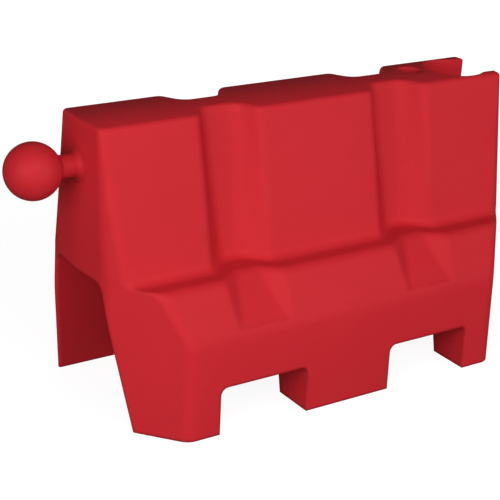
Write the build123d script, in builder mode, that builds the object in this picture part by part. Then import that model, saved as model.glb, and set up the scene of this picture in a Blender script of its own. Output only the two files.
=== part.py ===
from build123d import *
import os
from math import atan2, cos, pi, radians, sin, tan

os.makedirs("parts", exist_ok=True)

# Plastic jersey barrier with a ball coupling, in millimetres.
# X runs along the barrier with the ball at -X, Z is up, and the origin is on the floor under its middle.

# Heights of the moulding
body_height = 600.0
ledge_height = 300.0
flare_foot_height = 214.0
band_height = 190.0

# Length, and the widths from the top down
body_length = 1010.0
top_width = 152.0
waist_width = 284.0
ledge_width = 384.0
flare_foot_width = 480.0
band_width = 494.0
base_width = 500.0

# Skin of the hollow moulding
wall = 5.0

# Ends: how far they bulge, the cut-off corners' angle to the long side, and how the corners run out upwards
corner_angle = 50.0
upper_corner_angle = 66.0
floor_end_width = 231.0
ledge_end_width = 210.0
end_crown = 8.0
corner_bend_height = 470.0
bend_corner_cut = 24.0
top_corner_cut = 8.0

# Channels of the upper body and recesses of the flare below them
centre_panel_length = 280.0
channel_mouth = 138.0
channel_floor_top = 84.0
channel_floor_waist = 46.0
channel_depth_top = 46.0
channel_depth_waist = 42.0
recess_mouth_ledge = 140.0
recess_mouth_foot = 126.0
recess_floor_ledge = 50.0
recess_floor_foot = 104.0
recess_depth_ledge = 32.0
recess_depth_foot = 1.0

# Edges of the moulding
end_edge_radius = 50.0
end_crown_radius = 420.0
corner_edge_radius = 35.0
panel_edge_radius = 22.0
channel_floor_radius = 34.0
top_edge_radius = 8.0
ledge_edge_radius = 22.0
waist_cove_radius = 20.0
edge_steps = 3
leg_edge_radius = 5.0

# Tunnel along the underside and fork pockets across it
tunnel_floor_width = 312.0
tunnel_roof_width = 180.0
tunnel_roof_drop = 4.0
tunnel_roof_radius = 24.0
fork_pocket_width = 208.0
fork_pocket_height = 100.0
fork_pocket_radius = 16.0

# Ball coupling and the insert that holds it
ball_radius = 56.0
ball_drop = 90.0
ball_reach = 92.9
ball_seat_depth = 3.9
ball_seat_clearance = 0.5
neck_radius = 23.0
neck_foot_rim = 0.5
neck_foot_thickness = 0.8
neck_flare_radius = 12.0
neck_ball_radius = 6.0
shank_radius = 18.0
shank_length = 38.0
shank_end_gap = 2.0
insert_wall = 9.0
insert_end = 6.0
insert_collar = 5.0
insert_collar_depth = 16.0

# Socket for the ball of the next barrier
joint_gap = 6.0
socket_clearance = 9.0
socket_floor_gap = 5.0
socket_mouth_width = 104.0
socket_lip_radius = 8.0
lip_setback = 3.0

# Filler in the top, beside the socket and a little towards the back
filler_web = 14.0
filler_offset = 22.0
filler_recess_radius = 25.0
filler_recess_depth = 30.0
filler_bore_radius = 14.5
filler_bush_wall = 4.0
filler_flange_radius = 22.5
filler_flange = 4.0
filler_bush_depth = 26.0
filler_gasket_radius = 20.5
filler_gasket_thickness = 2.0
filler_cap_flange = 5.0
filler_cap_wall = 4.0
filler_spigot_length = 24.0
filler_grip_length = 34.0
filler_grip_width = 8.0
filler_grip_height = 9.0
filler_grip_radius = 2.0

# Drain low in the middle foot of the back
drain_height = 52.0
drain_recess_radius = 27.0
drain_recess_depth = 17.0
drain_bore_radius = 12.0
drain_bush_wall = 4.0
drain_flange_radius = 22.0
drain_flange = 3.0
drain_bush_depth = 18.0
drain_gasket_radius = 19.0
drain_gasket_thickness = 2.0
drain_plug_flange = 4.0
drain_spigot_length = 18.0
drain_hexagon_width = 22.0
drain_hexagon_height = 7.0
drain_hexagon_chamfer = 1.0

# Locking collar of the moulded-in bushes, and the fits
bush_collar = 4.0
thread_clearance = 0.08
gasket_clearance = 0.4
rim_radius = 3.0
cut_margin = 20.0

end_x = body_length / 2
ball_height = body_height - ball_drop
tunnel_height = ledge_height - tunnel_roof_drop
channel_centre = (centre_panel_length + channel_mouth) / 2
foot_radius = neck_radius + neck_flare_radius + neck_foot_rim
ball_seat_x = end_x - ball_seat_depth
socket_x = end_x - ball_reach + ball_seat_depth + joint_gap
socket_radius = ball_radius + socket_clearance
filler_x = socket_x - socket_radius - filler_web - filler_recess_radius
filler_floor = body_height - filler_recess_depth
drain_side = (base_width + (band_width - base_width) * drain_height / band_height) / 2
drain_floor = drain_side - drain_recess_depth

# Section planes through the turned pieces: local x is the radius, local y the way out
ball_section = Plane(origin=(-ball_seat_x, 0, ball_height), x_dir=(0, 0, 1), z_dir=(0, -1, 0))
filler_section = Plane(origin=(filler_x, filler_offset, filler_floor), x_dir=(1, 0, 0), z_dir=(0, -1, 0))
drain_section = Plane(origin=(0, drain_floor, drain_height), x_dir=(1, 0, 0), z_dir=(0, 0, 1))
ball_axis = Axis((-ball_seat_x, 0, ball_height), (-1, 0, 0))
filler_axis = Axis((filler_x, filler_offset, filler_floor), (0, 0, 1))
drain_axis = Axis((0, drain_floor, drain_height), (0, 1, 0))


def between(low, high, share):
    """Value the given share of the way from low to high."""
    return low + (high - low) * share


def plan_face(height, width, end_width, inset, channel=None, angle=corner_angle):
    """Plan outline at one height, taken in by inset; channel is its mouth, floor and depth."""
    slant = radians(angle)
    cut = (width - end_width) / 2
    corner_run = cut / tan(slant)
    facet = cut / sin(slant)
    side_y = -width / 2
    end_round = min(end_edge_radius, 1.3 * facet)
    side_round = min(corner_edge_radius, facet)
    corner_x = end_x - end_crown
    points = [(-end_x, 0), (-corner_x, -end_width / 2), (-corner_x + corner_run, side_y)]
    rounds = [end_crown_radius, end_round, side_round]
    if channel:
        mouth, floor, depth = channel
        for centre in (-channel_centre, channel_centre):
            points.append((centre - mouth / 2, side_y))
            points.append((centre - floor / 2, side_y + depth))
            points.append((centre + floor / 2, side_y + depth))
            points.append((centre + mouth / 2, side_y))
            rounds += [panel_edge_radius, channel_floor_radius, channel_floor_radius, panel_edge_radius]
    points += [(corner_x - corner_run, side_y), (corner_x, -end_width / 2)]
    rounds += [side_round, end_round]
    opposite = [(-x, -y) for x, y in points]
    with BuildSketch(Plane.XY.offset(height)) as outline:
        with BuildLine():
            FilletPolyline(*points, *opposite, radius=rounds + rounds, close=True)
        make_face()
        if inset:
            offset(amount=-inset)
    return outline.sketch


def base_band(inset):
    """Upright band above the floor and the soft step up to the flare."""
    band_end_width = between(floor_end_width, ledge_end_width, band_height / ledge_height)
    foot_end_width = between(floor_end_width, ledge_end_width, flare_foot_height / ledge_height)
    floor_face = plan_face(inset, base_width, floor_end_width, inset)
    band_face = plan_face(band_height, band_width, band_end_width, inset)
    foot_face = plan_face(flare_foot_height, flare_foot_width, foot_end_width, inset)
    loft([floor_face, band_face, foot_face], ruled=True)


def flare(inset):
    """Sloping flare up to the rounded edge of the ledge, with its fading recesses."""
    foot_end_width = between(floor_end_width, ledge_end_width, flare_foot_height / ledge_height)
    foot_channel = (recess_mouth_foot, recess_floor_foot, recess_depth_foot)
    ledge_channel = (recess_mouth_ledge, recess_floor_ledge, recess_depth_ledge)
    slope = atan2((flare_foot_width - ledge_width) / 2, ledge_height - flare_foot_height)
    edge_back = ledge_edge_radius * tan((pi / 2 - slope) / 2)
    faces = [plan_face(flare_foot_height, flare_foot_width, foot_end_width, inset, foot_channel)]
    for step in range(edge_steps + 1):
        angle = between(slope, pi / 2, step / edge_steps)
        level = ledge_height + ledge_edge_radius * (sin(angle) - 1)
        width = ledge_width - 2 * edge_back + 2 * ledge_edge_radius * cos(angle)
        rise = (level - flare_foot_height) / (ledge_height - flare_foot_height)
        end_width = between(foot_end_width, ledge_end_width, rise)
        channel = [between(low, high, rise) for low, high in zip(foot_channel, ledge_channel)]
        faces.append(plan_face(level - inset, width, end_width, inset, channel))
    loft(faces, ruled=True)


def upper_body(inset):
    """Tapered upper body on its cove, with two channels on each long side."""
    slope = atan2((waist_width - top_width) / 2, body_height - ledge_height)
    cove_out = waist_cove_radius * tan((pi / 2 - slope) / 2)
    waist_channel = (channel_mouth, channel_floor_waist, channel_depth_waist)
    top_channel = (channel_mouth, channel_floor_top, channel_depth_top)
    faces = []
    for step in range(edge_steps + 1):
        angle = between(pi / 2, slope, step / edge_steps)
        level = ledge_height + waist_cove_radius * (1 - sin(angle))
        width = waist_width + 2 * cove_out - 2 * waist_cove_radius * cos(angle)
        faces.append(plan_face(level - inset, width, ledge_end_width, inset, waist_channel))
    bend = (corner_bend_height - ledge_height) / (body_height - ledge_height)
    bend_channel = [between(low, high, bend) for low, high in zip(waist_channel, top_channel)]
    bend_width = between(waist_width, top_width, bend)
    bend_end_width = bend_width - 2 * bend_corner_cut
    top_end_width = top_width - 2 * top_corner_cut
    faces.append(
        plan_face(corner_bend_height, bend_width, bend_end_width, inset, bend_channel, upper_corner_angle)
    )
    faces.append(
        plan_face(body_height - inset, top_width, top_end_width, inset, top_channel, upper_corner_angle)
    )
    loft(faces, ruled=True)


def tunnel_cut(growth):
    """Tunnel from end to end, open to the floor."""
    slope = (tunnel_floor_width - tunnel_roof_width) / 2 / tunnel_height
    mouth_half = tunnel_floor_width / 2 + slope * cut_margin
    roof_half = tunnel_roof_width / 2
    with BuildSketch(Plane.YZ) as outline:
        with BuildLine():
            FilletPolyline(
                (-mouth_half, -cut_margin),
                (-roof_half, tunnel_height),
                (roof_half, tunnel_height),
                (mouth_half, -cut_margin),
                radius=[0, tunnel_roof_radius, tunnel_roof_radius, 0],
                close=True,
            )
        make_face()
        if growth:
            offset(amount=growth)
    extrude(outline.sketch, amount=body_length, both=True, mode=Mode.SUBTRACT)


def fork_pocket_cuts(growth):
    """Two fork pockets across the feet, with rounded top corners."""
    half = fork_pocket_width / 2
    for centre in (-channel_centre, channel_centre):
        with BuildSketch(Plane.XZ) as outline:
            with BuildLine():
                FilletPolyline(
                    (centre - half, -cut_margin),
                    (centre - half, fork_pocket_height),
                    (centre + half, fork_pocket_height),
                    (centre + half, -cut_margin),
                    radius=[0, fork_pocket_radius, fork_pocket_radius, 0],
                    close=True,
                )
            make_face()
            if growth:
                offset(amount=growth)
        extrude(outline.sketch, amount=base_width, both=True, mode=Mode.SUBTRACT)


def socket_face(height, growth, outer_lips=True):
    """Keyhole outline at one height: a circle for the ball and a narrower mouth with rounded lips."""
    with BuildSketch(Plane.XY.offset(height)) as outline:
        with Locations((socket_x, 0)):
            Circle(socket_radius)
            Rectangle(end_x, socket_mouth_width, align=(Align.MIN, Align.CENTER))
        if outer_lips:
            with Locations((end_x - lip_setback, 0)):
                Rectangle(end_x, 2 * socket_mouth_width, align=(Align.MIN, Align.CENTER))
        lips = outline.vertices().filter_by_position(Axis.X, socket_x + 1, end_x + 1)
        fillet(lips, radius=socket_lip_radius)
        if growth:
            offset(amount=growth, kind=Kind.INTERSECTION)
    return outline.sketch


def socket_cut(growth):
    """Keyhole pocket, open to the top and to the right end."""
    socket_floor = ball_height - ball_radius - socket_floor_gap
    outline = socket_face(socket_floor - growth, growth, outer_lips=growth == 0)
    extrude(outline, amount=body_height, mode=Mode.SUBTRACT)


def socket_lead_in():
    """Broken edge round the top of the socket that guides the ball in."""
    foot_face = socket_face(body_height - rim_radius, 0)
    open_face = socket_face(body_height + rim_radius, 2 * rim_radius)
    loft([foot_face, open_face], ruled=True, mode=Mode.SUBTRACT)


def round_cut(section, axis, radius, low, high):
    """Round hole about an axis, between two distances along it."""
    with BuildSketch(section) as outline:
        with Locations((0, low)):
            Rectangle(radius, high - low, align=(Align.MIN, Align.MIN))
    revolve(outline.sketch, axis=axis, mode=Mode.SUBTRACT)


def is_leg_edge(edge):
    """Upright edges where the tunnel meets the cut-off corners."""
    box = edge.bounding_box()
    rises = box.min.Z < 1 and box.size.Z > fork_pocket_height
    return rises and max(-box.min.Y, box.max.Y) < tunnel_floor_width / 2 + 1


def is_filler_rim(edge):
    """Rim of the filler recess in the top face."""
    box = edge.bounding_box()
    return box.min.Z > body_height - 1 and abs(box.size.Y - 2 * filler_recess_radius) < 0.1


def bush_outline(bore, bush_wall, flange_radius, flange, depth):
    """Half section of a moulded-in bush: flange outside the skin, locking collar inside it."""
    barrel = bore + bush_wall
    collar = barrel + bush_collar
    return [
        (bore, flange),
        (flange_radius, flange),
        (flange_radius, 0),
        (barrel, 0),
        (barrel, -wall),
        (collar, -wall),
        (collar, -wall - bush_collar),
        (barrel, -wall - bush_collar),
        (barrel, -depth),
        (bore, -depth),
    ]


def insert_outline():
    """Half section of the ball insert's outside, with its collar against pulling out."""
    barrel = shank_radius + insert_wall
    collar = barrel + insert_collar
    depth = shank_length + shank_end_gap + insert_end
    return [
        (0, 0),
        (barrel, 0),
        (barrel, -insert_collar_depth),
        (collar, -insert_collar_depth),
        (collar, -insert_collar_depth - insert_collar),
        (barrel, -insert_collar_depth - insert_collar),
        (barrel, -depth),
        (0, -depth),
    ]


insert_boss_radius = shank_radius + insert_wall + insert_collar + wall
insert_boss_depth = shank_length + shank_end_gap + insert_end + wall
filler_seat = filler_flange + filler_gasket_thickness
drain_seat = drain_flange + drain_gasket_thickness

# Water space inside the skin
with BuildPart() as water_space:
    base_band(wall)
    flare(wall)
    upper_body(wall)
    tunnel_cut(wall)
    fork_pocket_cuts(wall)
    socket_cut(wall)
    round_cut(filler_section, filler_axis, filler_recess_radius + wall, -wall, filler_recess_depth)
    round_cut(drain_section, drain_axis, drain_recess_radius + wall, -wall, drain_recess_depth)
    round_cut(ball_section, ball_axis, insert_boss_radius, -insert_boss_depth, 0)

# Hollow moulding
with BuildPart() as barrier_shell:
    base_band(0)
    flare(0)
    upper_body(0)
    fillet(barrier_shell.faces().sort_by(Axis.Z)[-1].edges(), radius=top_edge_radius)
    tunnel_cut(0)
    fillet(barrier_shell.edges().filter_by(is_leg_edge), radius=leg_edge_radius)
    fork_pocket_cuts(0)
    socket_cut(0)
    socket_lead_in()
    round_cut(filler_section, filler_axis, filler_recess_radius, 0, filler_recess_depth + cut_margin)
    fillet(barrier_shell.edges().filter_by(is_filler_rim), radius=rim_radius)
    round_cut(drain_section, drain_axis, drain_recess_radius, 0, drain_recess_depth + cut_margin)
    round_cut(ball_section, ball_axis, foot_radius + ball_seat_clearance, 0, cut_margin)
    add(water_space.part, mode=Mode.SUBTRACT)
    round_cut(filler_section, filler_axis, filler_bore_radius + filler_bush_wall, -filler_bush_depth, 0)
    round_cut(drain_section, drain_axis, drain_bore_radius + drain_bush_wall, -drain_bush_depth, 0)
    with BuildSketch(ball_section):
        with BuildLine():
            Polyline(*insert_outline(), close=True)
        make_face()
    revolve(axis=ball_axis, mode=Mode.SUBTRACT)

barrier_shell.part.label = "barrier_shell"
export_step(barrier_shell.part, "parts/barrier_shell.step")

# Insert moulded into the left end, with a blind threaded hole for the ball
with BuildPart() as ball_insert:
    with BuildSketch(ball_section):
        with BuildLine():
            Polyline(*insert_outline(), close=True)
        make_face()
    revolve(axis=ball_axis)
    round_cut(ball_section, ball_axis, shank_radius + thread_clearance, -shank_length - shank_end_gap, 0)

ball_insert.part.label = "ball_insert"
export_step(ball_insert.part, "parts/ball_insert.step")

# Coupling ball: shank, foot, flared neck and ball turned in one piece
with BuildPart() as coupling_ball:
    with BuildSketch(ball_section) as ball_profile:
        with BuildLine():
            Polyline(
                (0, -shank_length),
                (shank_radius, -shank_length),
                (shank_radius, 0),
                (foot_radius, 0),
                (foot_radius, neck_foot_thickness),
                (neck_radius, neck_foot_thickness),
                (neck_radius, ball_reach),
                (0, ball_reach),
                close=True,
            )
        make_face()
        neck_corners = ball_profile.vertices().filter_by_position(Axis.X, neck_radius - 0.1, neck_radius + 0.1)
        fillet(neck_corners.sort_by(Axis.Y)[0], radius=neck_flare_radius)
        with Locations((0, ball_reach)):
            Circle(ball_radius)
        neck_corners = ball_profile.vertices().filter_by_position(Axis.X, neck_radius - 0.1, neck_radius + 0.1)
        fillet(neck_corners.sort_by(Axis.Y)[-1], radius=neck_ball_radius)
        with Locations((0, ball_reach)):
            Rectangle(2 * ball_radius, 4 * ball_radius, align=(Align.MAX, Align.CENTER), mode=Mode.SUBTRACT)
    revolve(axis=ball_axis)

coupling_ball.part.label = "coupling_ball"
export_step(coupling_ball.part, "parts/coupling_ball.step")

# Threaded bush moulded into the floor of the filler recess
with BuildPart() as filler_bush:
    with BuildSketch(filler_section):
        with BuildLine():
            Polyline(
                *bush_outline(
                    filler_bore_radius, filler_bush_wall, filler_flange_radius, filler_flange, filler_bush_depth
                ),
                close=True,
            )
        make_face()
    revolve(axis=filler_axis)

filler_bush.part.label = "filler_bush"
export_step(filler_bush.part, "parts/filler_bush.step")

# Flat sealing ring between bush and cap
with BuildPart() as filler_gasket:
    with BuildSketch(Plane.XY.offset(filler_floor + filler_flange)):
        with Locations((filler_x, filler_offset)):
            Circle(filler_gasket_radius)
            Circle(filler_bore_radius + gasket_clearance, mode=Mode.SUBTRACT)
    extrude(amount=filler_gasket_thickness)

filler_gasket.part.label = "filler_gasket"
export_step(filler_gasket.part, "parts/filler_gasket.step")

# Screw cap: hollow spigot, flange and grip bar
with BuildPart() as filler_cap:
    with BuildSketch(filler_section):
        with BuildLine():
            spigot = filler_bore_radius - thread_clearance
            spigot_foot = filler_seat - filler_spigot_length
            cap_top = filler_seat + filler_cap_flange
            Polyline(
                (0, cap_top),
                (filler_gasket_radius, cap_top),
                (filler_gasket_radius, filler_seat),
                (spigot, filler_seat),
                (spigot, spigot_foot),
                (spigot - filler_cap_wall, spigot_foot),
                (spigot - filler_cap_wall, cap_top - filler_cap_wall),
                (0, cap_top - filler_cap_wall),
                close=True,
            )
        make_face()
    revolve(axis=filler_axis)
    with BuildSketch(Plane.XY.offset(filler_floor + cap_top)):
        with Locations((filler_x, filler_offset)):
            SlotOverall(filler_grip_length, filler_grip_width)
    extrude(amount=filler_grip_height)
    fillet(filler_cap.faces().sort_by(Axis.Z)[-1].edges(), radius=filler_grip_radius)

filler_cap.part.label = "filler_cap"
export_step(filler_cap.part, "parts/filler_cap.step")

# Threaded bush moulded into the floor of the drain recess
with BuildPart() as drain_bush:
    with BuildSketch(drain_section):
        with BuildLine():
            Polyline(
                *bush_outline(
                    drain_bore_radius, drain_bush_wall, drain_flange_radius, drain_flange, drain_bush_depth
                ),
                close=True,
            )
        make_face()
    revolve(axis=drain_axis)

drain_bush.part.label = "drain_bush"
export_step(drain_bush.part, "parts/drain_bush.step")

# Flat sealing ring between bush and plug
with BuildPart() as drain_gasket:
    with BuildSketch(Plane(origin=(0, drain_floor + drain_flange, drain_height), z_dir=(0, 1, 0))):
        Circle(drain_gasket_radius)
        Circle(drain_bore_radius + gasket_clearance, mode=Mode.SUBTRACT)
    extrude(amount=drain_gasket_thickness)

drain_gasket.part.label = "drain_gasket"
export_step(drain_gasket.part, "parts/drain_gasket.step")

# Drain plug: spigot, flange and hexagon head
with BuildPart() as drain_plug:
    with BuildSketch(drain_section):
        with BuildLine():
            plug_top = drain_seat + drain_plug_flange
            plug_foot = drain_seat - drain_spigot_length
            Polyline(
                (0, plug_top),
                (drain_gasket_radius, plug_top),
                (drain_gasket_radius, drain_seat),
                (drain_bore_radius - thread_clearance, drain_seat),
                (drain_bore_radius - thread_clearance, plug_foot),
                (0, plug_foot),
                close=True,
            )
        make_face()
    revolve(axis=drain_axis)
    with BuildSketch(Plane(origin=(0, drain_floor + plug_top, drain_height), z_dir=(0, 1, 0))):
        RegularPolygon(drain_hexagon_width / 2, 6, major_radius=False)
    extrude(amount=drain_hexagon_height)
    chamfer(drain_plug.faces().sort_by(Axis.Y)[-1].edges(), length=drain_hexagon_chamfer)

drain_plug.part.label = "drain_plug"
export_step(drain_plug.part, "parts/drain_plug.step")
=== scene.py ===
import math
import bmesh
import bpy
from mathutils import Matrix, Vector


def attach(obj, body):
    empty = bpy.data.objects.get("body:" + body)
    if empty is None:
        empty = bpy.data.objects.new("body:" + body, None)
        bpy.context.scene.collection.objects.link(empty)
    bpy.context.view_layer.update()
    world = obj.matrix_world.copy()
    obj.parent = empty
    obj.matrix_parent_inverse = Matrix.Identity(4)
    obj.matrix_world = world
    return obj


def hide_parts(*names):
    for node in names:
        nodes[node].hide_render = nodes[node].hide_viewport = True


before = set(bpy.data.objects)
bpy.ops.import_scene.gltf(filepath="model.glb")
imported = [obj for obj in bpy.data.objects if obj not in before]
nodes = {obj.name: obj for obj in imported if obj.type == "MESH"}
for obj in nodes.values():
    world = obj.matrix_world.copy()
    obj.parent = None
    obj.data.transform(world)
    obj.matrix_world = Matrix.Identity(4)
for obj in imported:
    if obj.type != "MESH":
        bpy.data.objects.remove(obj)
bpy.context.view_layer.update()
print("frame loaded:", ", ".join(sorted(nodes)))

# camera of the photo, metres and degrees
photoCamera = {
    "lens": 107.898, "sensor": 36.0,          # millimetres
    "azimuth": -34.7232, "elevation": 22.1168, "roll": 3.1709,
    "distance": 3.184431,
    "slide": (-0.0757795, -0.0568017),        # to the right and upwards in the picture
    "lookAt": (0.0, 0.0, 0.3),
    "clip": (0.05, 60.0),
}


# unit vector towards an azimuth and elevation, with the front at azimuth 0
def directionTo(azimuth, elevation):
    turn, tilt = math.radians(azimuth), math.radians(elevation)
    return Vector((math.sin(turn) * math.cos(tilt), -math.cos(turn) * math.cos(tilt), math.sin(tilt)))


def placeCamera(shot):
    back = directionTo(shot["azimuth"], shot["elevation"])
    right = Vector((0, 0, 1)).cross(back).normalized()
    up = back.cross(right)
    place = Vector(shot["lookAt"]) + back * shot["distance"]
    place += right * shot["slide"][0]
    place += up * shot["slide"][1]
    roll = math.radians(shot["roll"])
    rolledRight = right * math.cos(roll) + up * math.sin(roll)
    rolledUp = up * math.cos(roll) - right * math.sin(roll)
    turned = Matrix((rolledRight, rolledUp, back)).transposed()
    lens = bpy.data.cameras.new("photoCamera")
    lens.sensor_width = shot["sensor"]
    lens.lens = shot["lens"]
    lens.clip_start, lens.clip_end = shot["clip"]
    camera = bpy.data.objects.new("photoCamera", lens)
    camera.matrix_world = Matrix.Translation(place) @ turned.to_4x4()
    bpy.context.scene.collection.objects.link(camera)
    bpy.context.scene.camera = camera


placeCamera(photoCamera)
print("camera placed")


# small helpers for node trees; a key that is no setting of the node names one of its inputs
def addNode(tree, kind, **values):
    node = tree.nodes.new(kind)
    for key, value in values.items():
        if hasattr(node, key):
            setattr(node, key, value)
        else:
            node.inputs[key.replace("_", " ")].default_value = value
    return node


def wire(tree, source, target):
    tree.links.new(source, target)


def multiply(tree, first, second):
    product = addNode(tree, "ShaderNodeMath", operation="MULTIPLY")
    wire(tree, first, product.inputs[0])
    wire(tree, second, product.inputs[1])
    return product.outputs[0]


def mapRange(tree, value, **limits):
    spread = addNode(tree, "ShaderNodeMapRange", **limits)
    wire(tree, value, spread.inputs["Value"])
    return spread.outputs["Result"]


# noise on the object, with patches as large as the size socket says
def sizedNoise(tree, size, **values):
    spot = addNode(tree, "ShaderNodeTexCoord")
    scale = addNode(tree, "ShaderNodeMath", operation="DIVIDE")
    scale.inputs[0].default_value = 1.0
    wire(tree, size, scale.inputs[1])
    noise = addNode(tree, "ShaderNodeTexNoise", **values)
    wire(tree, spot.outputs["Object"], noise.inputs["Vector"])
    wire(tree, scale.outputs[0], noise.inputs["Scale"])
    return noise.outputs["Fac"]


# place on the object, split into X, Y and Z
def splitPlace(tree):
    spot = addNode(tree, "ShaderNodeTexCoord")
    split = addNode(tree, "ShaderNodeSeparateXYZ")
    wire(tree, spot.outputs["Object"], split.inputs[0])
    return split.outputs


# node group whose inputs are colours where their value is a tuple, and plain values elsewhere
def newGroup(name, inputs, outputs):
    group = bpy.data.node_groups.new(name, "ShaderNodeTree")
    for label, value in inputs.items():
        kind = "NodeSocketColor" if isinstance(value, tuple) else "NodeSocketFloat"
        socket = group.interface.new_socket(label, in_out="INPUT", socket_type=kind)
        socket.default_value = value
    for label, kind in outputs.items():
        group.interface.new_socket(label, in_out="OUTPUT", socket_type=kind)
    return group, group.nodes.new("NodeGroupInput"), group.nodes.new("NodeGroupOutput")


def placeGroup(tree, group, **values):
    node = tree.nodes.new("ShaderNodeGroup")
    node.node_tree = group
    for key, value in values.items():
        node.inputs[key.replace("_", " ")].default_value = value
    return node


# fine pebbled skin that a heated mould leaves on plastic
def makeMouldGrain():
    group, given, made = newGroup(
        "mouldGrain",
        {"Pebble Size": 0.004, "Ripple Size": 0.08, "Ripple": 0.3},
        {"Height": "NodeSocketFloat", "Speckle": "NodeSocketFloat"},
    )
    pebble = sizedNoise(group, given.outputs["Pebble Size"], Detail=3.0, Roughness=0.55)
    ripple = sizedNoise(group, given.outputs["Ripple Size"], Detail=1.0)
    mixed = addNode(group, "ShaderNodeMix", data_type="FLOAT")
    wire(group, given.outputs["Ripple"], mixed.inputs[0])
    wire(group, pebble, mixed.inputs[2])
    wire(group, ripple, mixed.inputs[3])
    wire(group, mixed.outputs[0], made.inputs["Height"])
    wire(group, pebble, made.inputs["Speckle"])
    return group


# slow drift of the pigment through the moulding
def makePigmentDrift():
    group, given, made = newGroup(
        "pigmentDrift",
        {"Color": (0.5, 0.02, 0.02, 1), "Deep Color": (0.4, 0.01, 0.01, 1), "Patch Size": 0.3, "Amount": 0.4},
        {"Color": "NodeSocketColor"},
    )
    cloud = sizedNoise(group, given.outputs["Patch Size"], Detail=4.0, Roughness=0.6)
    spread = mapRange(group, cloud, From_Min=0.35, From_Max=0.65)
    mixed = addNode(group, "ShaderNodeMix", data_type="RGBA")
    wire(group, multiply(group, spread, given.outputs["Amount"]), mixed.inputs[0])
    wire(group, given.outputs["Color"], mixed.inputs[6])
    wire(group, given.outputs["Deep Color"], mixed.inputs[7])
    wire(group, mixed.outputs[2], made.inputs["Color"])
    return group


# pale rub along edges: the rounded normal leaves the true one there
def makeEdgeRub():
    group, given, made = newGroup(
        "edgeRub",
        {"Radius": 0.006, "Breakup Size": 0.03, "Amount": 0.5},
        {"Mask": "NodeSocketFloat"},
    )
    soft = addNode(group, "ShaderNodeBevel", samples=6)
    wire(group, given.outputs["Radius"], soft.inputs["Radius"])
    shape = addNode(group, "ShaderNodeNewGeometry")
    agree = addNode(group, "ShaderNodeVectorMath", operation="DOT_PRODUCT")
    wire(group, soft.outputs["Normal"], agree.inputs[0])
    wire(group, shape.outputs["Normal"], agree.inputs[1])
    edge = mapRange(group, agree.outputs["Value"], From_Min=0.995, From_Max=0.86)
    cloud = sizedNoise(group, given.outputs["Breakup Size"], Detail=5.0, Roughness=0.65)
    broken = mapRange(group, cloud, From_Min=0.42, From_Max=0.62)
    mask = multiply(group, multiply(group, edge, broken), given.outputs["Amount"])
    wire(group, mask, made.inputs["Mask"])
    return group


# darker patches that gather low down and thin out upwards
def makeLowDarkening():
    group, given, made = newGroup(
        "lowDarkening",
        {"Top": 0.12, "Patch Size": 0.05, "Amount": 0.3},
        {"Mask": "NodeSocketFloat"},
    )
    height = splitPlace(group)["Z"]
    low = mapRange(group, height, interpolation_type="SMOOTHSTEP", To_Min=1.0, To_Max=0.0)
    wire(group, given.outputs["Top"], low.node.inputs["From Max"])
    cloud = sizedNoise(group, given.outputs["Patch Size"], Detail=6.0, Roughness=0.7)
    patch = mapRange(group, cloud, From_Min=0.4, From_Max=0.7)
    mask = multiply(group, multiply(group, low, patch), given.outputs["Amount"])
    wire(group, mask, made.inputs["Mask"])
    return group


# soft form of the moulding: rounded edges, and a top face that leans outwards to both long edges
def makeMouldedForm():
    group, given, made = newGroup(
        "mouldedForm",
        {"Edge Radius": 0.01, "Slope": 3.5, "Height": 0.59},
        {"Normal": "NodeSocketVector"},
    )
    soft = addNode(group, "ShaderNodeBevel", samples=8)
    wire(group, given.outputs["Edge Radius"], soft.inputs["Radius"])
    place = splitPlace(group)
    shape = addNode(group, "ShaderNodeNewGeometry")
    facing = addNode(group, "ShaderNodeSeparateXYZ")
    wire(group, shape.outputs["Normal"], facing.inputs[0])
    upward = mapRange(
        group, facing.outputs["Z"], interpolation_type="SMOOTHSTEP", From_Min=0.8, From_Max=0.99)
    high = addNode(group, "ShaderNodeMath", operation="GREATER_THAN")
    wire(group, place["Z"], high.inputs[0])
    wire(group, given.outputs["Height"], high.inputs[1])
    mask = multiply(group, upward, high.outputs[0])
    lean = multiply(group, place["Y"], given.outputs["Slope"])
    outward = addNode(group, "ShaderNodeCombineXYZ")
    wire(group, multiply(group, lean, mask), outward.inputs["Y"])
    leaned = addNode(group, "ShaderNodeVectorMath", operation="ADD")
    wire(group, soft.outputs["Normal"], leaned.inputs[0])
    wire(group, outward.outputs[0], leaned.inputs[1])
    unit = addNode(group, "ShaderNodeVectorMath", operation="NORMALIZE")
    wire(group, leaned.outputs[0], unit.inputs[0])
    wire(group, unit.outputs[0], made.inputs["Normal"])
    return group


mouldGrain = makeMouldGrain()
pigmentDrift = makePigmentDrift()
edgeRub = makeEdgeRub()
lowDarkening = makeLowDarkening()
mouldedForm = makeMouldedForm()
print("shader groups made")


def newMaterial(name):
    material = bpy.data.materials.new(name)
    material.use_nodes = True
    tree = material.node_tree
    return material, tree, tree.nodes["Principled BSDF"]


def mixColour(tree, mask, below, above):
    mixed = addNode(tree, "ShaderNodeMix", data_type="RGBA")
    wire(tree, mask, mixed.inputs[0])
    wire(tree, below, mixed.inputs[6])
    mixed.inputs[7].default_value = above
    return mixed.outputs[2]


# roughness that varies with a texture, as far as the look says to both sides
def roughenBy(tree, skin, look, texture, **limits):
    low, high = look["rough"] - look["roughSpread"], look["rough"] + look["roughSpread"]
    wire(tree, mapRange(tree, texture, To_Min=low, To_Max=high, **limits), skin.inputs["Roughness"])


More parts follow.
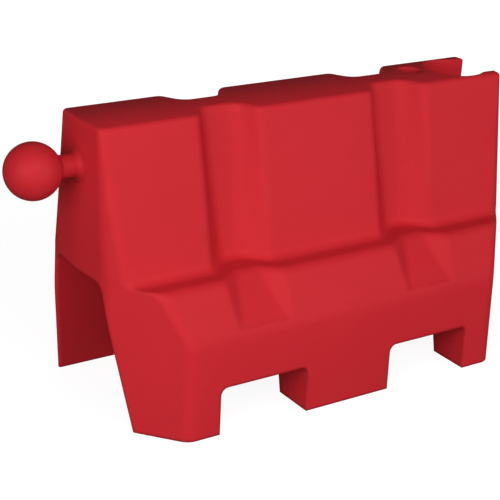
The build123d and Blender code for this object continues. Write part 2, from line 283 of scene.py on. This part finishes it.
def makePlastic(name, look):
    material, tree, skin = newMaterial(name)
    drift = placeGroup(
        tree, pigmentDrift, Color=look["colour"], Deep_Color=look["deep"],
        Patch_Size=look["patch"], Amount=look["drift"])
    grain = placeGroup(
        tree, mouldGrain, Pebble_Size=look["pebble"], Ripple_Size=look["rippleSize"], Ripple=look["ripple"])
    rub = placeGroup(
        tree, edgeRub, Radius=look["rubRadius"], Breakup_Size=look["rubBreak"], Amount=look["rub"])
    # darker colour in patches low down, thinning out upwards
    darkening = placeGroup(
        tree, lowDarkening, Top=look["darkeningTop"], Patch_Size=look["darkeningPatch"], Amount=look["darkening"])
    colour = mixColour(tree, rub.outputs["Mask"], drift.outputs["Color"], look["rubColour"])
    colour = mixColour(tree, darkening.outputs["Mask"], colour, look["darkeningColour"])
    wire(tree, colour, skin.inputs["Base Color"])
    roughenBy(tree, skin, look, grain.outputs["Speckle"], From_Min=0.3, From_Max=0.7)
    bump = addNode(tree, "ShaderNodeBump", Strength=look["bump"], Distance=look["bumpDepth"])
    wire(tree, grain.outputs["Height"], bump.inputs["Height"])
    if "crown" in look:
        form = placeGroup(
            tree, mouldedForm, Edge_Radius=look["edgeRadius"],
            Slope=look["crown"], Height=look["crownHeight"])
        wire(tree, form.outputs["Normal"], bump.inputs["Normal"])
    wire(tree, bump.outputs["Normal"], skin.inputs["Normal"])
    skin.inputs["Specular IOR Level"].default_value = look["gloss"]
    return material


# red polyethylene, and what the other plastics change of it
plasticLook = {
    "colour": (0.60, 0.021, 0.030, 1), "deep": (0.54, 0.017, 0.025, 1), "patch": 0.35, "drift": 0.4,
    "pebble": 0.0035, "rippleSize": 0.07, "ripple": 0.35,
    "rubRadius": 0.005, "rubBreak": 0.03, "rub": 0.25, "rubColour": (0.72, 0.06, 0.068, 1),
    # the next row darkens the colour in patches low down, thinning out upwards
    "darkeningTop": 0.12, "darkeningPatch": 0.05, "darkening": 0.22, "darkeningColour": (0.34, 0.035, 0.036, 1),
    "rough": 0.55, "roughSpread": 0.06, "bump": 0.45, "bumpDepth": 0.0012, "gloss": 0.10,
}
shellLook = dict(plasticLook, edgeRadius=0.012, crown=3.5, crownHeight=0.59)
ballLook = dict(
    plasticLook, colour=(0.55, 0.019, 0.028, 1), deep=(0.50, 0.016, 0.023, 1), patch=0.06,
    pebble=0.0025, rippleSize=0.03, rub=0.1, darkening=0.0, rough=0.5,
)
fittingLook = dict(
    plasticLook, colour=(0.55, 0.019, 0.026, 1), deep=(0.47, 0.015, 0.020, 1), patch=0.03,
    pebble=0.0012, rippleSize=0.02, rubRadius=0.0012, rub=0.4, darkening=0.0,
    rough=0.46, bumpDepth=0.0002, gloss=0.25,
)
rubberLook = dict(
    plasticLook, colour=(0.030, 0.030, 0.031, 1), deep=(0.018, 0.018, 0.019, 1), patch=0.012, drift=0.7,
    pebble=0.0008, rippleSize=0.01, rubRadius=0.0008, rub=0.35, rubColour=(0.09, 0.09, 0.09, 1), darkening=0.0,
    rough=0.72, bumpDepth=0.0002, gloss=0.25,
)

shellPlastic = makePlastic("shellPlastic", shellLook)
ballPlastic = makePlastic("ballPlastic", ballLook)
fittingPlastic = makePlastic("fittingPlastic", fittingLook)
gasketRubber = makePlastic("gasketRubber", rubberLook)

brassLook = {
    "colour": (0.72, 0.50, 0.20, 1), "dull": (0.45, 0.29, 0.10, 1), "patch": 0.012, "drift": 0.6,
    "ringPitch": 0.006, "waver": 0.4, "rough": 0.34, "roughSpread": 0.08, "bump": 0.3, "bumpDepth": 0.0001,
}
waveLength = 0.314        # of the wave texture at a scale of 1


# turned brass: tool rings along the axis and dull patches
def makeBrass(name, look):
    material, tree, skin = newMaterial(name)
    drift = placeGroup(
        tree, pigmentDrift, Color=look["colour"], Deep_Color=look["dull"],
        Patch_Size=look["patch"], Amount=look["drift"])
    wire(tree, drift.outputs["Color"], skin.inputs["Base Color"])
    spot = addNode(tree, "ShaderNodeTexCoord")
    rings = addNode(
        tree, "ShaderNodeTexWave", bands_direction="X",
        Scale=waveLength / look["ringPitch"], Distortion=look["waver"])
    wire(tree, spot.outputs["Object"], rings.inputs["Vector"])
    roughenBy(tree, skin, look, rings.outputs["Fac"])
    bump = addNode(tree, "ShaderNodeBump", Strength=look["bump"], Distance=look["bumpDepth"])
    wire(tree, rings.outputs["Fac"], bump.inputs["Height"])
    wire(tree, bump.outputs["Normal"], skin.inputs["Normal"])
    skin.inputs["Metallic"].default_value = 1.0
    return material


insertBrass = makeBrass("insertBrass", brassLook)
nodeMaterials = {
    "barrier_shell": shellPlastic, "coupling_ball": ballPlastic, "ball_insert": insertBrass,
    "filler_gasket": gasketRubber, "drain_gasket": gasketRubber,
    "filler_bush": fittingPlastic, "filler_cap": fittingPlastic,
    "drain_bush": fittingPlastic, "drain_plug": fittingPlastic,
}


def dress(piece, material):
    piece.data.materials.clear()
    piece.data.materials.append(material)
    for face in piece.data.polygons:
        face.material_index = 0


for name, material in nodeMaterials.items():
    dress(nodes[name], material)
print("materials set")

# edges that the mould rounds: weld the CAD facets, join flat ones, then round what is left sharp
shellEdges = {"weld": 0.00002, "flat": 0.6, "sharp": 40.0, "round": 0.004, "steps": 3}


def softenEdges(piece, edges):
    weld = piece.modifiers.new("weld", "WELD")
    weld.merge_threshold = edges["weld"]
    flat = piece.modifiers.new("joinFlat", "DECIMATE")
    flat.decimate_type = "DISSOLVE"
    flat.angle_limit = math.radians(edges["flat"])
    edge = piece.modifiers.new("roundEdges", "BEVEL")
    edge.limit_method = "ANGLE"
    edge.angle_limit = math.radians(edges["sharp"])
    edge.width = edges["round"]
    edge.segments = edges["steps"]
    shade = piece.modifiers.new("evenShading", "WEIGHTED_NORMAL")
    shade.keep_sharp = False


softenEdges(nodes["barrier_shell"], shellEdges)
print("shell edges rounded")


# profile of a turned piece: corners given as radius, height and rounding
def softProfile(corners, steps=3):
    line = []
    for index, (radius, height, soft) in enumerate(corners):
        here = Vector((radius, height))
        if soft == 0 or index in (0, len(corners) - 1):
            line.append((radius, height))
            continue
        before = (Vector(corners[index - 1][:2]) - here).normalized()
        after = (Vector(corners[index + 1][:2]) - here).normalized()
        for step in range(steps + 1):
            share = step / steps
            point = here + before * soft * (1 - share) ** 2 + after * soft * share ** 2
            line.append((point.x, point.y))
    return line


# shares of a turn that flank and crest take up, rows in a turn, and full depths gained in a turn
threadForm = {"flank": 0.3, "crest": 0.15, "rows": 12, "fade": 1.5}


# share of the full thread depth at a phase of the turn: flank, crest, flank, root
def threadShare(phase):
    phase = phase % 1.0
    crestStart = threadForm["flank"]
    crestEnd = crestStart + threadForm["crest"]
    rootStart = crestEnd + threadForm["flank"]
    if phase < crestStart:
        return phase / threadForm["flank"]
    if phase < crestEnd:
        return 1.0
    if phase < rootStart:
        return (rootStart - phase) / threadForm["flank"]
    return 0.0


# rows of a right-hand thread that fades in at its foot and out at its top
def threadRows(root, crest, foot, top, pitch):
    count = round((top - foot) / pitch * threadForm["rows"])
    rows = []
    for step in range(count + 1):
        height = foot + (top - foot) * step / count
        fade = min(1.0, *(run / pitch * threadForm["fade"] for run in (height - foot, top - height)))

        def radiusAt(angle, height=height, fade=fade):
            return root + (crest - root) * fade * threadShare(height / pitch - angle / math.tau)

        rows.append((radiusAt, height))
    return rows


def finishMesh(name, shape):
    bmesh.ops.recalc_face_normals(shape, faces=shape.faces)
    mesh = bpy.data.meshes.new(name)
    shape.to_mesh(mesh)
    shape.free()
    return mesh


# turned piece: every row is a radius, or a radius by angle, and a height
def turnedMesh(name, rows, sides, closed=False):
    shape = bmesh.new()
    rings = []
    for radius, height in rows:
        if radius == 0:
            rings.append([shape.verts.new((0, 0, height))])
            continue
        ring = []
        for side in range(sides):
            angle = math.tau * side / sides
            reach = radius(angle) if callable(radius) else radius
            ring.append(shape.verts.new((reach * math.cos(angle), reach * math.sin(angle), height)))
        rings.append(ring)
    pairs = list(zip(rings, rings[1:]))
    if closed:
        pairs.append((rings[-1], rings[0]))
    for low, high in pairs:
        for side in range(sides):
            after = (side + 1) % sides
            corners = [low[side % len(low)], low[after % len(low)]]
            corners += [high[after % len(high)], high[side % len(high)]]
            shape.faces.new(list(dict.fromkeys(corners)))        # a ring of one point gives triangles
    return finishMesh(name, shape)


# stack of outlines, each given with its height and how far it is drawn in, closed at both ends
def stackedMesh(name, outline, levels):
    shape = bmesh.new()
    rings = []
    for height, drawIn in levels:
        rings.append([shape.verts.new((x, y, height)) for x, y in outline(drawIn)])
    for low, high in zip(rings, rings[1:]):
        for side in range(len(low)):
            after = (side + 1) % len(low)
            shape.faces.new((low[side], low[after], high[after], high[side]))
    shape.faces.new(rings[0])
    shape.faces.new(rings[-1])
    return finishMesh(name, shape)


def slotOutline(length, width, count=12):
    def outline(drawIn):
        radius = width / 2 - drawIn
        reach = length / 2 - width / 2
        points = []
        for end, start in ((reach, -math.pi / 2), (-reach, math.pi / 2)):
            for step in range(count + 1):
                angle = start + math.pi * step / count
                points.append((end + radius * math.cos(angle), radius * math.sin(angle)))
        return points
    return outline


# hexagon by its width across flats, with corners cut back by a share and rounded over a small turn
def hexagonOutline(width, cornerTurn, cornerCut):
    def outline(drawIn):
        reach = (width / 2 - drawIn) / math.cos(math.pi / 6) * (1 - cornerCut)
        points = []
        for corner in range(6):
            middle = math.pi / 3 * corner + math.pi / 6
            for turn in (middle - cornerTurn, middle, middle + cornerTurn):
                points.append((reach * math.cos(turn), reach * math.sin(turn)))
        return points
    return outline


creaseAngle = 38.0


# joins meshes into one piece, sets it on its seat and hangs it on its body
def placePiece(name, meshes, seat, body, node):
    joined = bmesh.new()
    for mesh in meshes:
        joined.from_mesh(mesh)
    whole = bpy.data.meshes.new(name)
    joined.to_mesh(whole)
    joined.free()
    for mesh in meshes:
        bpy.data.meshes.remove(mesh)
    whole.shade_smooth()
    whole.set_sharp_from_angle(angle=math.radians(creaseAngle))
    whole.materials.append(fittingPlastic)
    piece = bpy.data.objects.new(name, whole)
    bpy.context.scene.collection.objects.link(piece)
    piece.matrix_world = seat
    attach(piece, body)
    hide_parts(node)


# seats of the two screws, where their turning joints are; the drain's points to the back
seatPlace = {"filler": (0.318, 0.022, 0.576), "drain": (0.0, 0.2371789, 0.052)}
fillerSeat = Matrix.Translation(seatPlace["filler"])
drainSeat = Matrix.Translation(seatPlace["drain"]) @ Matrix.Rotation(-math.pi / 2, 4, "X")


# rows from the foot of a screw's thread, over its flange's edge, to the middle of the flange
def screwRows(screw, rim):
    foot = -screw["spigotLength"]
    underIn, underUp = screw["underEdge"]
    rows = [(screw["root"] - screw["lead"], foot)]
    rows += threadRows(screw["root"], screw["spigot"], foot + screw["lead"], -screw["runOut"], screw["pitch"])
    rows += [(screw["root"], 0.0), (screw["flange"] - underIn, 0.0), (rim, underUp)]
    rows.append((rim, screw["flangeHeight"] - screw["edgeDrop"]))
    for inward, drop in screw["upperEdge"]:
        rows.append((screw["flange"] - inward, screw["flangeHeight"] - drop))
    rows.append((0, screw["flangeHeight"]))
    return rows


# levels of a head that is sunk a little into the flange and rounded at its top
def headLevels(screw):
    top = screw["flangeHeight"] + screw["headHeight"]
    levels = [(screw["flangeHeight"] - screw["headSunk"], 0.0)]
    return levels + [(top - drop, drawIn) for drop, drawIn in screw["headEdge"]]


# edges are pairs of inward and drop, or inward and up below the flange; the head's are drop and draw-in
screwCap = {
    "spigot": 0.0144, "root": 0.0131, "hollow": 0.0104, "spigotLength": 0.024, "pitch": 0.006,
    "lead": 0.001, "runOut": 0.0008, "crown": 0.001,
    "flange": 0.0205, "flangeHeight": 0.005, "ribs": 30, "ribDepth": 0.0007,
    "underEdge": (0.0015, 0.0006), "edgeDrop": 0.001, "upperEdge": ((0.0013, 0.0002), (0.0025, 0.0)),
    "gripLength": 0.034, "gripWidth": 0.008, "headHeight": 0.009, "headSunk": 0.0003,
    "headEdge": ((0.002, 0.0004), (0.0012, 0.0006), (0.0005, 0.0011), (0.0001, 0.0018), (0.0, 0.0024)),
    "sides": 180,
}


def makeScrewCap(cap):
    def rim(angle):
        return cap["flange"] - cap["ribDepth"] * (0.5 - 0.5 * math.cos(angle * cap["ribs"])) ** 2

    rows = [(0, cap["crown"]), (cap["hollow"], cap["crown"]), (cap["hollow"], -cap["spigotLength"])]
    body = turnedMesh("capBody", rows + screwRows(cap, rim), cap["sides"])
    grip = stackedMesh("capGrip", slotOutline(cap["gripLength"], cap["gripWidth"]), headLevels(cap))
    placePiece("screwCap", [body, grip], fillerSeat, "filler_screw", "filler_cap")


makeScrewCap(screwCap)

fillerBush = {
    "bore": 0.0145, "groove": 0.0157, "barrel": 0.0185, "collar": 0.0225, "flange": 0.0225,
    "top": -0.002, "seat": -0.006, "skin": 0.005, "collarHeight": 0.004, "depth": 0.026, "pitch": 0.006,
    "flangeEdge": 0.0008, "softEdge": 0.0005, "threadStop": 0.0005, "sides": 96,
}
drainBush = {
    "bore": 0.012, "groove": 0.0129, "barrel": 0.016, "collar": 0.020, "flange": 0.022,
    "top": -0.002, "seat": -0.005, "skin": 0.005, "collarHeight": 0.004, "depth": 0.018, "pitch": 0.003,
    "flangeEdge": 0.0008, "softEdge": 0.0005, "threadStop": 0.0005, "sides": 96,
}


def makeBush(name, bush, seat, node):
    foot = bush["seat"] - bush["depth"]
    under = bush["seat"] - bush["skin"]
    collarFoot = under - bush["collarHeight"]
    corners = [
        (bush["bore"], bush["top"], 0),
        (bush["flange"], bush["top"], bush["flangeEdge"]),
        (bush["flange"], bush["seat"], 0),
        (bush["barrel"], bush["seat"], 0),
        (bush["barrel"], under, 0),
        (bush["collar"], under, bush["softEdge"]),
        (bush["collar"], collarFoot, bush["softEdge"]),
        (bush["barrel"], collarFoot, 0),
        (bush["barrel"], foot, bush["softEdge"]),
        (bush["bore"], foot, 0),
    ]
    threadFoot, threadTop = foot + bush["threadStop"], bush["top"] - bush["threadStop"]
    rows = softProfile(corners)
    rows += threadRows(bush["bore"], bush["groove"], threadFoot, threadTop, bush["pitch"])
    body = turnedMesh("bushBody", rows, bush["sides"], closed=True)
    placePiece(name, [body], seat, "barrier", node)


makeBush("fillerBush", fillerBush, fillerSeat, "filler_bush")
makeBush("drainBush", drainBush, drainSeat, "drain_bush")

drainScrew = {
    "spigot": 0.0119, "root": 0.0109, "spigotLength": 0.018, "pitch": 0.003, "lead": 0.001, "runOut": 0.0006,
    "flange": 0.019, "flangeHeight": 0.004,
    "underEdge": (0.0008, 0.0006), "edgeDrop": 0.001, "upperEdge": ((0.0004, 0.0002), (0.0012, 0.0)),
    "hexagon": 0.022, "cornerTurn": 0.04, "cornerCut": 0.01, "headHeight": 0.007, "headSunk": 0.0003,
    "headEdge": ((0.001, 0.0002), (0.0003, 0.0007), (0.0, 0.0012)),
    "sides": 96,
}


def makeDrainScrew(screw):
    rows = [(0, -screw["spigotLength"])]
    body = turnedMesh("screwBody", rows + screwRows(screw, screw["flange"]), screw["sides"])
    outline = hexagonOutline(screw["hexagon"], screw["cornerTurn"], screw["cornerCut"])
    head = stackedMesh("screwHead", outline, headLevels(screw))
    placePiece("drainScrew", [body, head], drainSeat, "drain_screw", "drain_plug")


makeDrainScrew(drainScrew)
print("fittings made")

# floor and sky that are white to the camera alone; the floor keeps a faint shadow
studio = {
    "floorColour": (0.20, 0.20, 0.20, 1), "floorGlow": 0.91, "floorRough": 0.9,
    "floorSize": 30.0, "floorDrop": 0.0005,
    "skyLight": 0.09,
    "lampAim": (0.0, 0.0, 0.3),
}
softBox = {"elevation": 14.0, "distance": 3.3, "width": 2.8, "height": 1.8, "mirrored": True}
lamps = {
    "leftBox": dict(softBox, azimuth=-55.0, power=54.6),
    "frontBox": dict(softBox, azimuth=20.0, power=42.6),
    "highBox": dict(softBox, azimuth=-30.0, elevation=40.0, power=34.4),
    "backStrip": {
        "azimuth": 150.0, "elevation": 0.0, "distance": 4.0,
        "width": 3.5, "height": 0.5, "power": 170.0, "mirrored": False,
    },
}


# 1 for rays that reach the camera straight or through something clear, and 0 for others
def seenByCamera(tree):
    path = addNode(tree, "ShaderNodeLightPath")
    seen = addNode(tree, "ShaderNodeMath", operation="MAXIMUM")
    wire(tree, path.outputs["Is Camera Ray"], seen.inputs[0])
    wire(tree, path.outputs["Is Transmission Ray"], seen.inputs[1])
    return seen.outputs[0]


def makeFloor(settings):
    half = settings["floorSize"] / 2
    corners = [(-half, -half, 0), (half, -half, 0), (half, half, 0), (-half, half, 0)]
    mesh = bpy.data.meshes.new("studioFloor")
    mesh.from_pydata(corners, [], [(0, 1, 2, 3)])
    floor = bpy.data.objects.new("studioFloor", mesh)
    bpy.context.scene.collection.objects.link(floor)
    floor.location.z = -settings["floorDrop"]
    material, tree, skin = newMaterial("floorPaint")
    skin.inputs["Base Color"].default_value = settings["floorColour"]
    skin.inputs["Roughness"].default_value = settings["floorRough"]
    skin.inputs["Specular IOR Level"].default_value = 0.0
    glow = addNode(tree, "ShaderNodeMath", operation="MULTIPLY")
    glow.inputs[1].default_value = settings["floorGlow"]
    wire(tree, seenByCamera(tree), glow.inputs[0])
    skin.inputs["Emission Color"].default_value = (1, 1, 1, 1)
    wire(tree, glow.outputs[0], skin.inputs["Emission Strength"])
    mesh.materials.append(material)


def makeWorld(settings):
    world = bpy.data.worlds.new("studioWorld")
    world.use_nodes = True
    tree = world.node_tree
    sky = tree.nodes["Background"]
    sky.inputs["Color"].default_value = (1, 1, 1, 1)
    level = addNode(tree, "ShaderNodeMix", data_type="FLOAT")
    wire(tree, seenByCamera(tree), level.inputs[0])
    level.inputs[2].default_value = settings["skyLight"]
    level.inputs[3].default_value = 1.0
    wire(tree, level.outputs[0], sky.inputs["Strength"])
    bpy.context.scene.world = world


def makeLamp(name, lampSettings, aim):
    back = directionTo(lampSettings["azimuth"], lampSettings["elevation"])
    light = bpy.data.lights.new(name, "AREA")
    light.shape = "RECTANGLE"
    light.size, light.size_y = lampSettings["width"], lampSettings["height"]
    light.energy = lampSettings["power"]
    lamp = bpy.data.objects.new(name, light)
    lamp.location = Vector(aim) + back * lampSettings["distance"]
    lamp.rotation_mode = "QUATERNION"
    lamp.rotation_quaternion = back.to_track_quat("Z", "Y")
    lamp.visible_glossy = lampSettings["mirrored"]
    bpy.context.scene.collection.objects.link(lamp)


makeFloor(studio)
makeWorld(studio)
for name, lampSettings in lamps.items():
    makeLamp(name, lampSettings, studio["lampAim"])
bpy.context.scene.view_settings.view_transform = "Standard"
print("studio lit")
